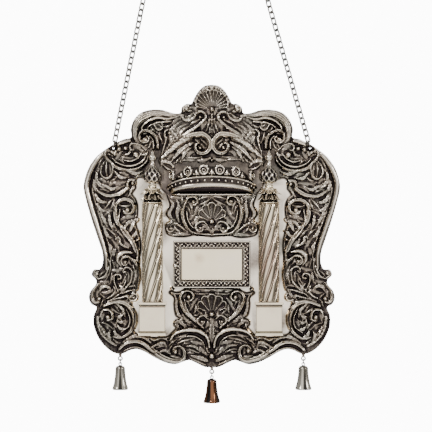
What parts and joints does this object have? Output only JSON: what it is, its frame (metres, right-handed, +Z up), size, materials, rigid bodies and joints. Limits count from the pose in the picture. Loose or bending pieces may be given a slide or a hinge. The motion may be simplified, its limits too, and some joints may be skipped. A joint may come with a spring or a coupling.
{
  "type": "torah shield",
  "caption": "Chased silver Torah shield with scrollwork border, crown, twisted columns, plain name plate, small bells and hanging chain.",
  "frame": {"origin": "the top of the chain on the shield's centre line, where it hangs from its two pegs", "axes": "+Z up along the height, the longest way; the front faces -Y; +X to the right as one faces the front"},
  "size_m": [0.257, 0.0291, 0.4144],
  "materials": {
    "chased_silver": "chased silver, bright on the ridges and dark tarnish in the ground",
    "plain_silver": "plain polished silver, pale, with a faint brown stain",
    "column_silver": "polished silver, brown-grey in the grooves",
    "chain_silver": "bright silver wire, dark between the links",
    "bell_silver": "bright silver with grey streaks",
    "worn_silver": "silver worn and tarnished to a warm copper brown"
  },
  "bodies": {
    "root": {"bell_centre": "worn_silver", "bell_left": "bell_silver", "bell_link_centre": "chain_silver", "bell_link_left": "chain_silver", "bell_link_right": "chain_silver", "bell_right": "bell_silver", "capital_left": "column_silver", "capital_right": "column_silver", "chain": "chain_silver", "chain_ring_left": "chain_silver", "chain_ring_right": "chain_silver", "column_left": "column_silver", "column_right": "column_silver", "crown": "chased_silver", "finial_left": "chased_silver", "finial_right": "chased_silver", "name_holder": "chased_silver", "name_plate": "plain_silver", "pedestal_left": "column_silver", "pedestal_right": "column_silver", "shield_plate": "chased_silver"}
  },
  "joints": []
}
